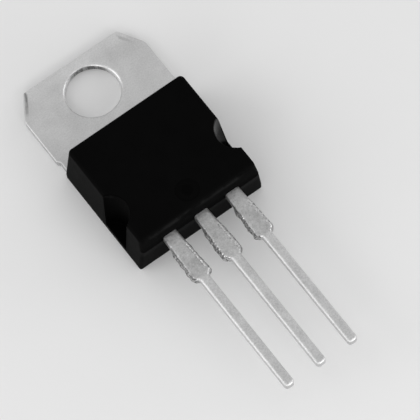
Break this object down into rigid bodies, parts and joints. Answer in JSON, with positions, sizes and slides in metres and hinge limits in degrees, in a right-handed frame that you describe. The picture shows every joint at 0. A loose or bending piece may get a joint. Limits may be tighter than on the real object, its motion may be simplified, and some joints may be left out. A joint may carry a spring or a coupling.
{
  "type": "voltage regulator",
  "caption": "Adjustable voltage regulator in a moulded tab package: a black housing with notched sides, a bright metal tab with a mounting hole, and straight leads.",
  "frame": {"origin": "centre of the mounting hole, on the back face of the tab", "axes": "+X to the right as seen from the front, +Y along the tab away from the leads, +Z out of the front face of the housing; the part lies on its back on z = 0"},
  "size_m": [0.01, 0.0293, 0.0044],
  "materials": {
    "epoxy": "satin moulded epoxy with a fine eroded texture",
    "tin_plate": "matte tin plate over copper",
    "solder": "satin soft solder",
    "silicon": "polished silicon, opaque",
    "bond_wire": "drawn aluminium wire"
  },
  "bodies": {
    "root": {"moulded_body": "epoxy", "tab_frame": "tin_plate", "adjust_lead": "tin_plate", "input_lead": "tin_plate", "die_solder": "solder", "regulator_die": "silicon", "adjust_wire": "bond_wire", "input_wire": "bond_wire", "output_wire": "bond_wire"}
  },
  "joints": []
}
